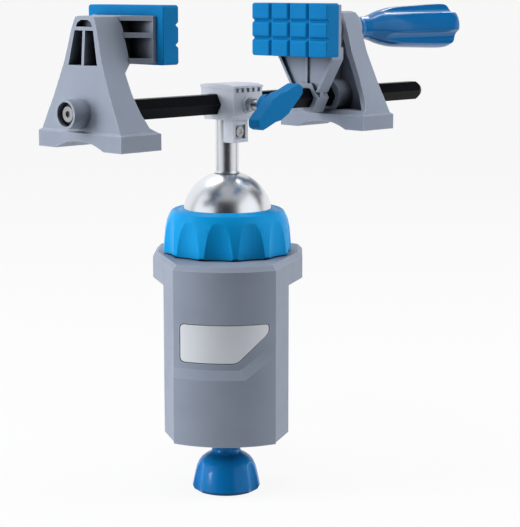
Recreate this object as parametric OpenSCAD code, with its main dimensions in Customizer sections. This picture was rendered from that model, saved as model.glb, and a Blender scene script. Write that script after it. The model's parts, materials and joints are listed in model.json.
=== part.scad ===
// Multi-angle bench vise: a clamp-on base, a lockable ball, a hex bar with a fixed and a moving jaw.
// Units are millimetres. The bench seat is z = 0, the front of the base faces -Y, the bench lies at +Y.

/* [Stock and fits] */
// Hex bar across its flats
bar_af = 12.7; // [10:0.1:20]
// Space between pieces that move past each other
gap = 0.3; // [0.2:0.05:0.6]
// Radial running fit of a turned journal or a smooth thread
run = 0.05; // [0.02:0.01:0.1]
// Turn of the bar about the column in the rest pose
swivel = 46.9; // [0:0.1:359]

/* [Base] */
// Width of the top plate
plate_w = 99.4; // [85:0.2:130]
// Thickness of the top plate
plate_t = 17.8; // [14:0.2:26]
// Width of the column
column_w = 81.4; // [70:0.2:95]
// Depth of the column below the bench seat
column_h = 97.5; // [85:0.5:130]
// Width of the bowed front face
front_w = 65.4; // [55:0.2:75]
// Radius of the bowed front face
front_r = 58.5; // [50:0.5:90]
// How far the lower part of the front stands out below its ledge
ledge = 3; // [1:0.1:4]
// Distance from the ball axis to the front of the base
front_y = 65; // [56:0.5:80]
// Distance from the ball axis to the rear of the column
column_rear = 12; // [8:0.5:20]
// Distance from the ball axis to the rear edge of the top plate
plate_rear = 48; // [44:0.5:70]
// Thickness of the rubber bench pads
pad_rubber = 2.5; // [1.5:0.1:4]
// How far the rubber stands out of its recess
rubber_proud = 0.5; // [0.3:0.1:1]

/* [Bench clamp] */
// Width of the slot the lower jaw slides in
slot_w = 30; // [24:0.5:40]
// Bench thickness in the rest pose
bench_gap = 45; // [20:0.5:60]
// Diameter of the clamp screw
screw_d = 10; // [8:0.5:12]
// Height of the sliding block of the lower jaw
block_h = 19; // [15:0.5:26]
// Diameter of the clamp knob at its skirt
knob_d = 44.2; // [36:0.2:60]
// Height of the clamp knob
knob_h = 35; // [28:0.5:50]

/* [Ball joint] */
// Diameter of the ball
ball_d = 59; // [50:0.5:66]
// Height of the ball centre above the bench seat
ball_z = 42.3; // [40:0.1:55]
// Diameter of the stem
stem_d = 15.5; // [12:0.5:20]
// Height of the bar axis above the ball centre
stem_l = 74; // [65:0.5:100]
// Diameter of the ring nut at its foot
ring_d = 85; // [80:0.5:96]
// Diameter of the ring nut at its top edge
ring_top_d = 74; // [72:0.5:80]
// Height of the ring nut edge above its foot
ring_h = 27.8; // [25:0.2:34]
// Depth of a flute of the ring nut
flute_deep = 3; // [1:0.2:4]
// Radius of a flute of the ring nut
flute_r = 24; // [10:0.5:30]
// Diameter of the threaded neck under the ring nut
neck_d = 67.2; // [66:0.2:70]

/* [Clamp head] */
// Length of the head along the bar
head_l = 26; // [22:0.5:36]
// Distance from the bar axis to the front of the head
head_front = 19.2; // [17:0.2:26]
// Distance from the bar axis to the rear of the head
head_rear = 11.2; // [10.5:0.1:18]
// Distance from the bar axis to the top of the head
head_top = 13.4; // [11:0.1:18]
// Distance from the bar axis to the underside of the head
head_low = 10; // [9:0.1:14]
// Diameter of the wing screw
wing_screw_d = 6; // [5:0.5:8]
// Diameter of the hub of the wing knob
wing_hub_d = 14.8; // [12:0.2:20]
// Length of the wing knob over both wings
wing_l = 46; // [36:0.5:64]
// Lean of the wings from the bar direction
wing_lean = 28; // [0:1:90]

/* [Jaws] */
// Width of a jaw pad
pad_w = 69; // [50:0.5:90]
// Height of a jaw pad
pad_h = 35.8; // [26:0.2:44]
// Thickness of a jaw pad
pad_t = 12.7; // [9:0.1:16]
// Rim of the pad left bare round the plate behind it
pad_rim = 6.5; // [3:0.1:9]
// Height of the lower edge of the pads above the bar axis
pad_low = 28.5; // [24:0.5:34]
// Distance from the ball axis to the face of the fixed pad
fixed_u = 75; // [60:0.5:90]
// Distance from the ball axis to the face of the moving pad
moving_u = 58.5; // [50:0.5:90]
// Width of the jaw frames over their feet
foot_w = 77; // [70:0.5:90]
// Distance from the bar axis to the soles of the feet
foot_low = 21.8; // [20:0.2:28]
// Height of the top of a jaw frame above the bar axis
frame_top = 58; // [54:0.5:64]
// Depth of a jaw foot along the bar
foot_l = 32; // [28:0.5:40]
// Bore of the boss round the bolt of the fixed jaw
boss_hole = 14.8; // [12:0.2:16]
// How far a foot stands out from the end face above it
foot_out = 1.3; // [0.5:0.1:3]
// How far the end face of a jaw leans in from foot to top
face_lean = 5.8; // [3:0.1:9]
// Distance from the ball axis to the moving end of the bar
bar_end = 199.5; // [180:0.5:240]

/* [Handle] */
// Diameter of the spindle
spindle_d = 10; // [8:0.5:12]
// Diameter of the handle
handle_d = 32.6; // [26:0.2:42]
// Diameter of the round cut of a groove along the handle
grip_groove = 13; // [8:0.5:18]
// Depth of a groove at the end of the handle
grip_depth = 4.5; // [2:0.1:6]
// Length of the handle
handle_l = 108.5; // [70:0.5:130]

/* [Hidden] */
$fn = 64;
grey = [0.55, 0.58, 0.63];
blue = [0.03, 0.44, 0.70];
deep_blue = [0.02, 0.33, 0.56];
silver = [0.80, 0.81, 0.83];
steel = [0.62, 0.63, 0.65];
black = [0.07, 0.07, 0.08];
rubber = [0.10, 0.10, 0.11];
brass = [0.72, 0.58, 0.28];

// The seat is centred on the origin, so the ball axis stands in front of it
ball_y = -(plate_rear - column_rear) / 2;
bar_z = ball_z + stem_l;
arc_y = -front_y + front_r;
corner_y = arc_y - sqrt(front_r * front_r - front_w * front_w / 4);
side_slope = (plate_w - front_w) / 2 / -corner_y;
outer_y = corner_y + (column_w - front_w) / 2 / side_slope;
under = rubber_proud;
floor_z = -column_h + 5.5;
roof_z = -5;
screw_y = -36;
jaw_top = -bench_gap - rubber_proud;
knob_top = -column_h - 0.7;
ball_r = ball_d / 2;
seat_r = ball_r + gap;
cup_r = ball_r - 1.1;
cup_low = ball_z - ball_r - 4.8;
neck_top = ball_z - 11.3;
ring_low = plate_t + 0.8;
ring_in = neck_d / 2 + 0.4;
ring_edge = ring_low + ring_h;
lip_z = ball_z + 5.2;
slip_top = ball_z + 2.2;
hex_r = bar_af / sqrt(3);
hex_hole_r = (bar_af + 2 * gap) / sqrt(3);
shoe_r = 4.2;
wing_v = -head_front - 9.4;
nut_v = -head_front - 2.6;
pad_top = pad_low + pad_h;
pad_mid = pad_low + pad_h / 2;
tube_r = spindle_d / 2 + 4;
sleeve_r = tube_r + 2.6;
hex_sleeve_r = hex_r + 4;
fixed_back = -fixed_u - pad_t;
fixed_end = -fixed_u - pad_t - 38;
moving_back = moving_u + pad_t;
moving_end = moving_back + 52.8;
foot_top = -foot_low + 10;
boss_end = fixed_end - 10.3;
// Side of a jaw frame, as shares of its half width and of its height above the feet, and the arch below
frame_side = [[0.948, 0], [0.896, 0.061], [0.8, 0.17], [0.699, 0.279], [0.582, 0.43], [0.447, 0.605],
    [0.358, 0.778], [0.301, 0.887], [0.249, 0.956], [0.218, 0.991], [0.13, 1]];
frame_arch = [[0.58, 0], [0.44, 2.4], [0.29, 4.2], [0.14, 4.9], [0, 5]];
wall_u = moving_end - 12;
clip_u = wall_u - 3;
tube_end = wall_u - 4;
handle_u = moving_end - 2.6;

// Frames: the ball axis at the bench seat, and the bar axis with u along the bar, v across it and w up
module at_axis() {
    translate([0, ball_y, 0])
        children();
}

module at_bar() {
    translate([0, ball_y, bar_z])
        rotate([0, 0, swivel])
            children();
}

// A profile of (v, w) drawn out along the bar
module along_u(u0, u1) {
    translate([u0, 0, 0])
        rotate([90, 0, 90])
            linear_extrude(u1 - u0)
                children();
}

// A profile of (u, w) drawn out across the bar
module along_v(v0, v1) {
    translate([0, v1, 0])
        rotate([90, 0, 0])
            linear_extrude(v1 - v0)
                children();
}

module rod_u(r, u0, u1) {
    translate([u0, 0, 0])
        rotate([0, 90, 0])
            cylinder(r = r, h = u1 - u0);
}

module rod_v(r, v0, v1) {
    translate([0, v1, 0])
        rotate([90, 0, 0])
            cylinder(r = r, h = v1 - v0);
}

module hex_u(r, u0, u1) {
    translate([u0, 0, 0])
        rotate([0, 90, 0])
            rotate([0, 0, 30])
                rotate([0, 0, 60])
                    cylinder(r = r, h = u1 - u0, $fn = 6);
}

// Base casting: column, top plate, threaded neck and the slot for the lower jaw
module bowed(z0, z1, extra) {
    translate([0, arc_y, z0])
        cylinder(r = front_r + extra, h = z1 - z0);
    translate([-plate_w, arc_y, z0])
        cube([2 * plate_w, front_r + plate_rear, z1 - z0]);
}

module column_block(z0, z1, extra) {
    intersection() {
        translate([0, 0, z0])
            linear_extrude(z1 - z0)
                polygon([[-front_w / 2, -front_y - 5], [front_w / 2, -front_y - 5], [front_w / 2, corner_y],
                    [column_w / 2, outer_y], [column_w / 2, -column_rear], [-column_w / 2, -column_rear],
                    [-column_w / 2, outer_y], [-front_w / 2, corner_y]]);
        bowed(z0 - 1, z1 + 1, extra);
    }
}

module plate_block(z0, z1, inset) {
    half = plate_w / 2 - inset;
    intersection() {
        translate([0, 0, z0])
            linear_extrude(z1 - z0)
                polygon([[-front_w / 2 + inset, -front_y - 5], [front_w / 2 - inset, -front_y - 5],
                    [front_w / 2 - inset, corner_y], [half, 0], [half, plate_rear - 12 - inset / 2],
                    [half - 12, plate_rear - inset], [12 - half, plate_rear - inset],
                    [-half, plate_rear - 12 - inset / 2], [-half, 0], [-front_w / 2 + inset, corner_y]]);
        bowed(z0 - 1, z1 + 1, -inset);
    }
}

// Region of the front face under the stepped ledge, seen from the front
module ledge_region(low, high, knee) {
    translate([0, arc_y, 0])
        rotate([90, 0, 0])
            linear_extrude(2 * front_r)
                polygon([[-front_w / 2, -column_h], [front_w / 2, -column_h], [front_w / 2, high],
                    [knee, low], [-front_w / 2, low]]);
}

module label_region(inset) {
    low = -column_h * 0.451 + inset;
    high = -column_h * 0.193 - inset;
    left = -front_w * 0.437 + inset;
    right = front_w * 0.436 - inset;
    knee = front_w * 0.1315 - inset * 0.4;
    bend = -column_h * 0.251 - inset * 0.5;
    c = 2.4;
    translate([0, arc_y, 0])
        rotate([90, 0, 0])
            linear_extrude(2 * front_r)
                polygon([[left, low + c], [left + c * 0.3, low + c * 0.3], [left + c, low], [knee - c, low],
                    [knee - c * 0.2, low + c * 0.2], [knee + c * 0.6, low + c * 0.7],
                        [right - c * 0.6, bend - c * 0.6],
                    [right - c * 0.1, bend + c * 0.1], [right, bend + c * 0.7], [right, high - c * 0.7],
                    [right - c * 0.2, high - c * 0.2], [right - c * 0.7, high], [left + c, high],
                    [left + c * 0.3, high - c * 0.3], [left, high - c]]);
}

module front_shell(r0, r1) {
    translate([0, arc_y, -column_h - 1])
        difference() {
            cylinder(r = r1, h = column_h + plate_t);
            translate([0, 0, -1])
                cylinder(r = r0, h = column_h + plate_t + 2);
        }
}

module base_housing() {
    color(grey)
        at_axis()
            difference() {
                union() {
                    column_block(-column_h, under + 1, 0);
                    plate_block(under, plate_t - 3, 0);
                    plate_block(plate_t - 3.01, plate_t - 1.4, 1.4);
                    plate_block(plate_t - 1.41, plate_t, 3);
                    intersection() {
                        column_block(-column_h, -20, ledge / 2);
                        ledge_region(-column_h * 0.492, -column_h * 0.318, front_w * 0.153);
                    }
                    intersection() {
                        column_block(-column_h, -20, ledge);
                        ledge_region(-column_h * 0.554, -column_h * 0.4, front_w * 0.206);
                    }
                    translate([0, 0, plate_t - 1])
                        cylinder(d = neck_d, h = neck_top - plate_t + 1);
                }
                translate([0, 0, cup_low - gap])
                    cylinder(r = cup_r + gap, h = 40);
                translate([-slot_w / 2, screw_y - 15, floor_z])
                    cube([slot_w, -column_rear - screw_y + 16, roof_z - floor_z]);
                translate([0, screw_y, -column_h - 1])
                    cylinder(r = screw_d / 2 + run, h = 12);
                translate([0, screw_y, roof_z - 1])
                    cylinder(r = screw_d / 2 - 1 + run, h = 9);
                translate([-plate_w / 2 + 7, -column_rear + 3, under - 1])
                    cube([plate_w - 14, plate_rear + column_rear - 8, pad_rubber - rubber_proud + 1]);
                intersection() {
                    front_shell(front_r - 0.8, front_r + 9);
                    label_region(0);
                }
                rear_pocket();
                mirror([1, 0, 0])
                    rear_pocket();
            }
}

// Coring of the casting beside the slot, open at the rear
module rear_pocket() {
    for (k = [0:1:2])
        translate([slot_w / 2 + 5, -column_rear - 22, floor_z + 1 + k * column_h * 0.297])
            cube([column_w / 2 - slot_w / 2 - 9, 23, column_h * 0.256]);
}

module name_plate() {
    color(silver)
        at_axis()
            intersection() {
                front_shell(front_r - 0.8, front_r + 0.15);
                label_region(0.5);
            }
}

module upper_bench_pad() {
    color(rubber)
        at_axis()
            translate([-plate_w / 2 + 7.2, -column_rear + 3.2, 0])
                cube([plate_w - 14.4, plate_rear + column_rear - 8.4, pad_rubber]);
}

// Lower jaw: a sliding block in the column slot with an arm under the bench
module lower_jaw() {
    arm = 13;
    recess = pad_rubber - rubber_proud;
    color(grey)
        at_axis()
            translate([0, 0, jaw_top])
                difference() {
                    union() {
                        translate([-slot_w / 2 + gap, screw_y - 15 + gap, -block_h])
                            cube([slot_w - 2 * gap, -column_rear - screw_y + 16, block_h]);
                        translate([-column_w / 2 + 3, -column_rear + gap, 0])
                            rotate([90, 0, 90])
                                linear_extrude(column_w - 6)
                                    polygon([[0, 0], [plate_rear + column_rear - 6, 0],
                                        [plate_rear + column_rear - 6, -7], [30, -arm], [0, -arm - 4]]);
                    }
                    translate([0, screw_y, -block_h - 1])
                        cylinder(r = screw_d / 2 + gap, h = block_h + 2);
                    translate([0, screw_y, -block_h - 1])
                        cylinder(r = 9.8, h = 10, $fn = 6);
                    translate([-column_w / 2 + 8, -column_rear + 5, -recess])
                        cube([column_w - 16, plate_rear + column_rear - 16, recess + 1]);
                    for (s = [-1, 1])
                        translate([s * 23 - 8, -column_rear + 6, -arm - 8])
                            cube([16, 22, arm + 8 - recess - 3.5]);
                }
}

module lower_bench_pad() {
    color(rubber)
        at_axis()
            translate([-column_w / 2 + 8.2, -column_rear + 5.2, jaw_top - pad_rubber + rubber_proud])
                cube([column_w - 16.4, plate_rear + column_rear - 16.4, pad_rubber]);
}

module jaw_nut() {
    color(steel)
        at_axis()
            translate([0, screw_y, jaw_top - block_h])
                difference() {
                    cylinder(r = 9.8, h = 9, $fn = 6);
                    translate([0, 0, -1])
                        cylinder(r = screw_d / 2 + run, h = 11);
                }
}

module clamp_screw() {
    color(steel)
        at_axis()
            translate([0, screw_y, 0]) {
                translate([0, 0, knob_top - knob_h + 8])
                    cylinder(d = screw_d, h = roof_z - gap - knob_top + knob_h - 8);
                translate([0, 0, roof_z - 1])
                    cylinder(r = screw_d / 2 - 1, h = 8);
            }
}

// Bell shaped clamp knob with three grooves
module clamp_knob() {
    r = knob_d / 2;
    color(deep_blue)
        at_axis()
            translate([0, screw_y, knob_top - knob_h])
                difference() {
                    rotate_extrude()
                        polygon([[0, 0], [r - 2.5, 0], [r - 0.8, 0.7], [r, 2.4], [r * 0.96, 7],
                            [r * 0.91, 12], [r * 0.865, 15.5], [r * 0.8, 18.6], [r * 0.72, 20.8],
                            [r * 0.61, 22.6], [r * 0.49, 24], [r * 0.435, 25.4], [r * 0.41, 27.5],
                            [r * 0.4, knob_h], [0, knob_h]]);
                    translate([0, 0, 8])
                        cylinder(d = screw_d, h = knob_h);
                    translate([0, 0, -1])
                        cylinder(r = 6, h = 5);
                    for (k = [0:2])
                        rotate([0, 0, -30 + 120 * k])
                            translate([r + 9, 0, -1])
                                rotate([0, -7, 0])
                                    cylinder(r = 11.3, h = 25);
                }
}

module knob_cap() {
    color(blue)
        at_axis()
            translate([0, screw_y, knob_top - knob_h + 0.6])
                cylinder(r = 6, h = 3.4);
}

module thrust_washer() {
    color(steel)
        at_axis()
            translate([0, screw_y, floor_z + gap])
                difference() {
                    cylinder(r = 9, h = 1.6);
                    translate([0, 0, -1])
                        cylinder(d = screw_d, h = 4);
                }
}

module screw_clip() {
    color(steel)
        at_axis()
            translate([0, screw_y, floor_z + gap + 1.6])
                difference() {
                    cylinder(r = 8, h = 1.4);
                    translate([0, 0, -1])
                        cylinder(d = screw_d, h = 4);
                }
}

// Seat shell under the ball, free to turn in the neck
module ball_cup() {
    color(rubber)
        at_axis()
            difference() {
                translate([0, 0, cup_low])
                    cylinder(r = cup_r, h = neck_top - 0.6 - cup_low);
                translate([0, 0, ball_z])
                    sphere(r = seat_r);
            }
}

// Friction ring between the ring nut and the ball
module slip_ring() {
    low = neck_top + 0.6;
    color(black)
        at_axis()
            difference() {
                translate([0, 0, low])
                    cylinder(r = ring_in - 0.2, h = slip_top - low);
                translate([0, 0, low - 1])
                    cylinder(r = seat_r, h = ball_z - low + 1);
                translate([0, 0, ball_z])
                    sphere(r = seat_r);
            }
}

// Fluted ring nut
module ring_nut() {
    rb = ring_d / 2;
    rt = ring_top_d / 2;
    h = ring_h;
    color(blue)
        at_axis()
            difference() {
                translate([0, 0, ring_low])
                    rotate_extrude()
                        polygon([[0, 0], [rb - 0.6, 0], [rb, 1], [rb - 0.5, h * 0.28], [rb - 1.3, h * 0.55],
                            [rb - 2.6, h * 0.78], [rt + 1, h * 0.93], [rt, h * 0.985], [rt - 1.4, h + 0.3],
                            [ball_r + 3.4, h - 0.5], [ball_r + 1.6, lip_z - ring_low - 0.3],
                            [ball_r, lip_z - ring_low], [0, lip_z - ring_low]]);
                translate([0, 0, ring_low - 1])
                    cylinder(r = ring_in, h = slip_top - ring_low + 1);
                translate([0, 0, ball_z])
                    sphere(r = seat_r);
                for (k = [0:11])
                    rotate([0, 0, -90 - 6 + 30 * k])
                        translate([rb - flute_deep + flute_r, 0, ring_low - 2])
                            cylinder(r = flute_r, h = h + 4);
            }
}

module ball() {
    flat = sqrt(ball_r * ball_r - (stem_d / 2 + 0.9) * (stem_d / 2 + 0.9));
    color(silver)
        at_axis()
            translate([0, 0, ball_z])
                difference() {
                    sphere(r = ball_r);
                    translate([0, 0, flat])
                        cylinder(r = ball_r, h = ball_r);
                    translate([0, 0, 4])
                        cylinder(r = stem_d / 2 - 1.5 + run, h = ball_r);
                }
}

module stem() {
    flat = sqrt(ball_r * ball_r - (stem_d / 2 + 0.9) * (stem_d / 2 + 0.9));
    color(silver)
        at_bar()
            difference() {
                union() {
                    translate([0, 0, -stem_l + 4 + gap])
                        cylinder(r = stem_d / 2 - 1.5, h = stem_l - 30);
                    translate([0, 0, -stem_l + flat + gap])
                        cylinder(r1 = stem_d / 2 + 0.7, r2 = stem_d / 2, h = 1.4);
                    translate([0, 0, -stem_l + flat + gap + 1.3])
                        cylinder(d = stem_d, h = stem_l - flat - gap - 1.3 - head_low);
                }
                rod_v2(2, -12, -3);
            }
}

// Cross hole of the lug bolt
module rod_v2(r, v0, v1) {
    translate([0, 0, -18])
        rod_v(r, v0, v1);
}

// Cast clamp head on the stem
module clamp_head() {
    color(silver)
        at_bar()
            difference() {
                union() {
                    along_u(-head_l / 2, head_l / 2)
                        polygon([[-head_front, -head_low + 3], [-head_front + 3, -head_low],
                            [stem_d / 2, -head_low], [head_rear, -head_low * 0.25],
                            [head_rear, head_top - 2.6], [-head_front, head_top - 2.6]]);
                    along_u(-head_l / 2 - 0.5, head_l / 2 + 0.5)
                        polygon([[-head_front - 0.5, head_top - 2.61], [head_rear + 0.5, head_top - 2.61],
                            [head_rear + 0.5, head_top - 1], [head_rear - 4, head_top - 0.3],
                            [-4, head_top], [-head_front + 4, head_top - 0.3],
                            [-head_front - 0.5, head_top - 1.2]]);
                    translate([-6.9, -12.3, -25])
                        cube([13.8, 12.3, 25 - head_low + 1]);
                    rod_v(5.2, -head_front - 1.8, -head_front + 2);
                }
                hex_u(hex_hole_r, -head_l, head_l);
                translate([0, 0, -40])
                    cylinder(d = stem_d, h = 40 - head_low);
                rod_v(wing_screw_d / 2 + run, -head_front - 3, 0);
                rod_v(shoe_r + gap, -14.6, 0);
                translate([-4.6, -13, -22.6])
                    cube([9.2, 2.4, 9.2]);
                rod_v2(2, -13, 0);
                for (k = [-2:2])
                    translate([k * 4.9 - 1.3, -head_front - 1, head_top - 5.4])
                        cube([2.6, 2.2, 2.8]);
            }
}

module lug_bolt() {
    color(steel)
        at_bar() {
            rod_v2(2, -10.6, -3);
            difference() {
                rod_v2(3.4, -12, -10.6);
                translate([0, -11.4, -18])
                    rotate([90, 0, 0])
                        cylinder(r = 1.6, h = 2, $fn = 6);
            }
        }
}

// Shoe that bears on the front edge of the bar
module brake_shoe() {
    color(brass)
        at_bar()
            difference() {
                rod_v(shoe_r, -12.6, -5.2);
                hex_u(hex_hole_r, -10, 10);
            }
}

module wing_screw() {
    color(steel)
        at_bar()
            rod_v(wing_screw_d / 2, wing_v - 19.4, -12.6 - gap);
}

module wing_knob() {
    half = wing_l / 2;
    q = wing_hub_d / 15;
    color(blue)
        at_bar()
            difference() {
                union() {
                    rod_v(wing_hub_d / 2, wing_v - 20.2, wing_v - 5.4);
                    rod_v(wing_hub_d * 0.4, wing_v - 5.5, wing_v - 3.6);
                    rotate([0, -wing_lean, 0])
                        along_v(wing_v - 20.2, wing_v - 10.6)
                            polygon([[-half, -2 * q], [-half + 2, -4.8 * q], [-half + 6, -5.4 * q],
                                [-9 * q, -6.2 * q],
                                [-4 * q, -7.8 * q], [4 * q, -7.8 * q], [9 * q, -6.2 * q],
                                    [half - 6, -4.2 * q],
                                [half - 1.5, -2.8 * q], [half, 0.4], [half, 2 * q], [half - 2, 4.8 * q],
                                [half - 6, 5.4 * q], [9 * q, 6.2 * q], [4 * q, 7.8 * q], [-4 * q, 7.8 * q],
                                [-9 * q, 6.2 * q], [-half + 6, 4.2 * q], [-half + 1.5, 2.8 * q],
                                    [-half, -0.4]]);
                }
                rod_v(wing_screw_d / 2, wing_v - 19.4, 0);
            }
}

module wing_nut() {
    color(steel)
        at_bar()
            difference() {
                translate([0, nut_v, 0])
                    rotate([90, 0, 0])
                        cylinder(r = wing_screw_d / 2 + 1.6, h = 3.6, $fn = 6);
                rod_v(wing_screw_d / 2, nut_v - 5, nut_v + 1);
            }
}

// Hex bar with a pointed moving end
module hex_bar() {
    color(black)
        at_bar()
            difference() {
                intersection() {
                    hex_u(hex_r, fixed_end + 7, bar_end);
                    union() {
                        rod_u(hex_r + 1, fixed_end, bar_end - 8);
                        translate([bar_end - 8, 0, 0])
                            rotate([0, 90, 0])
                                cylinder(r1 = hex_r + 0.2, r2 = hex_r - 2.2, h = 5);
                        translate([bar_end - 3, 0, 0])
                            rotate([0, 90, 0])
                                cylinder(r1 = hex_r - 2.2, r2 = hex_r - 4.8, h = 3);
                    }
                }
                rod_u(3, fixed_end, fixed_end + 26);
            }
}

// Outline of a jaw frame in (v, w): spread feet, leaning sides and an arch between the feet
module frame_outline(inset) {
    f = foot_w / 2;
    low = foot_top + 1;
    rise = frame_top - inset - low;
    side = [for (p = frame_side) [p[0] * f - inset, low + p[1] * rise]];
    polygon(concat([[-f + inset, foot_top], [-f + inset, -foot_low]],
        [for (p = frame_arch) [-p[0] * f, p[1] - foot_low]],
        [for (k = [len(frame_arch) - 2:-1:0]) [frame_arch[k][0] * f, frame_arch[k][1] - foot_low]],
        [[f - inset, -foot_low], [f - inset, foot_top]],
        side, [for (k = [len(side) - 1:-1:0]) [-side[k][0], side[k][1]]]));
}

// Side profile of a jaw frame in (u, w), with its outer face at end
module frame_profile(end, dir, deep) {
    back = foot_l * 0.625;
    polygon([[end, -foot_low], [end - dir * foot_l, -foot_low], [end - dir * foot_l, foot_top],
        [end - dir * foot_l * 0.8, foot_top + 3.5], [end - dir * foot_l * 0.7, 0],
            [end - dir * foot_l * 0.64, 12],
        [end - dir * back, pad_low - 4.5], [end - dir * (back + deep), pad_low + 1],
        [end - dir * (back + deep), frame_top + 1],
        [end - dir * (face_lean * (frame_top + 1 + foot_low) / (frame_top + foot_low)), frame_top + 1],
        [end - dir * foot_out, foot_top + 1.2], [end, foot_top]]);
}

module frame_block(end, dir, deep) {
    intersection() {
        along_u(min(end, end - dir * foot_l) - 1, max(end, end - dir * foot_l) + 1)
            frame_outline(0);
        along_v(-foot_w, foot_w)
            frame_profile(end, dir, deep);
    }
}

module fixed_jaw() {
    edge = pad_w / 2 - pad_rim;
    color(grey)
        at_bar()
            difference() {
                union() {
                    frame_block(fixed_end, -1, 6);
                    rod_u(9, boss_end, fixed_end + 5);
                    for (w = [pad_low + 1, pad_mid - 1.5, frame_top - 3])
                        translate([0, 0, w])
                            linear_extrude(3)
                                polygon([[fixed_end + 25, -18 + (w - pad_low) * 0.28],
                                    [fixed_back - 2.4, -edge],
                                    [fixed_back - 2.4, edge], [fixed_end + 25, 18 - (w - pad_low) * 0.28]]);
                    along_u(fixed_end + 25, fixed_back - 2)
                        polygon([[-8, pad_low + 1], [8, pad_low + 1], [6, frame_top], [-6, frame_top]]);
                    along_u(fixed_back - 2.5, fixed_back)
                        polygon([[-edge, pad_low + 1], [edge, pad_low + 1], [edge, pad_top - pad_rim],
                            [-edge, pad_top - pad_rim]]);
                }
                hex_u(hex_r, fixed_end + 7, fixed_end + 40);
                rod_u(3, boss_end - 1, fixed_end + 8);
                rod_u(boss_hole / 2, boss_end - 1, boss_end + 6);
                for (s = [-1, 1])
                    along_u(fixed_end - 1, fixed_end + 22)
                        polygon([[s * 1.1, pad_low], [s * 13.4, pad_low], [s * 8.6, pad_low + 20.8],
                            [s * 1.1, pad_low + 20.8]]);
                along_u(fixed_end - 1, fixed_end + 10)
                    polygon([[-7.6, 51.5], [7.6, 51.5], [6, 54.2], [3.2, 55.6], [-3.2, 55.6], [-6, 54.2]]);
            }
}

module fixed_jaw_bolt() {
    color(steel)
        at_bar()
            difference() {
                union() {
                    rod_u(4.8, boss_end + 2, boss_end + 5);
                    rod_u(3, boss_end + 5, fixed_end + 25);
                }
                rotate([0, 90, 0])
                    translate([0, 0, boss_end + 1])
                        cylinder(r = 2.2, h = 2.6, $fn = 6);
            }
}

module bolt_washer() {
    color(steel)
        at_bar()
            difference() {
                rod_u(boss_hole / 2 - 0.3, boss_end + 5, boss_end + 6);
                rod_u(3, boss_end, boss_end + 10);
            }
}

// Pad block with a face of raised squares, drawn for a face that looks along +u from 0
module pad_block() {
    cols = 4;
    rows = 3;
    difference() {
        along_u(-pad_t, 0)
            polygon([[-pad_w / 2, pad_low + 1.2], [-pad_w / 2 + 1.2, pad_low], [pad_w / 2 - 1.2, pad_low],
                [pad_w / 2, pad_low + 1.2], [pad_w / 2, pad_top - 1.2], [pad_w / 2 - 1.2, pad_top],
                [-pad_w / 2 + 1.2, pad_top], [-pad_w / 2, pad_top - 1.2]]);
        for (k = [1:cols - 1])
            translate([0, -pad_w / 2 + k * pad_w / cols, pad_low - 1])
                linear_extrude(pad_h + 2)
                    polygon([[0.5, -2], [-2.2, 0], [0.5, 2]]);
        for (k = [1:rows - 1])
            translate([0, -pad_w / 2 - 1, pad_low + k * pad_h / rows])
                rotate([-90, 0, 0])
                    linear_extrude(pad_w + 2)
                        polygon([[0.5, -2], [-2.2, 0], [0.5, 2]]);
    }
}

module fixed_jaw_pad() {
    color(blue)
        at_bar()
            translate([-fixed_u, 0, 0])
                pad_block();
}

module moving_jaw_pad() {
    color(blue)
        at_bar()
            translate([moving_u, 0, 0])
                mirror([1, 0, 0])
                    pad_block();
}

// Moving jaw frame: the same outline as the fixed one, cored out towards the pad
module moving_jaw() {
    color(grey)
        at_bar()
            difference() {
                union() {
                    difference() {
                        frame_block(moving_end, 1, 0);
                        intersection() {
                            along_u(moving_end - foot_l - 1, wall_u)
                                frame_outline(4);
                            along_v(-foot_w, foot_w)
                                polygon([[moving_end - foot_l - 2, foot_top + 3], [wall_u, foot_top + 3],
                                    [wall_u, frame_top - 4], [moving_end - foot_l - 2, frame_top - 4]]);
                        }
                    }
                    rod_u(hex_sleeve_r + 0.3, moving_end - 26, wall_u + 1);
                    intersection() {
                        along_v(-1.6, 1.6)
                            frame_profile(moving_end, 1, 0);
                        translate([0, 0, 8.5])
                            cube([400, 10, 43], center = true);
                    }
                    translate([0, 0, pad_mid]) {
                        rod_u(sleeve_r, moving_end - 20, wall_u + 1);
                        rod_u(sleeve_r + 0.4, wall_u, handle_u - 0.4);
                    }
                }
                hex_u(hex_hole_r, moving_end - 50, moving_end + 20);
                translate([0, 0, pad_mid]) {
                    rod_u(tube_r + gap, moving_end - 50, wall_u);
                    rod_u(spindle_d / 2 + run, wall_u - 1, moving_end + 20);
                }
            }
}

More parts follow.
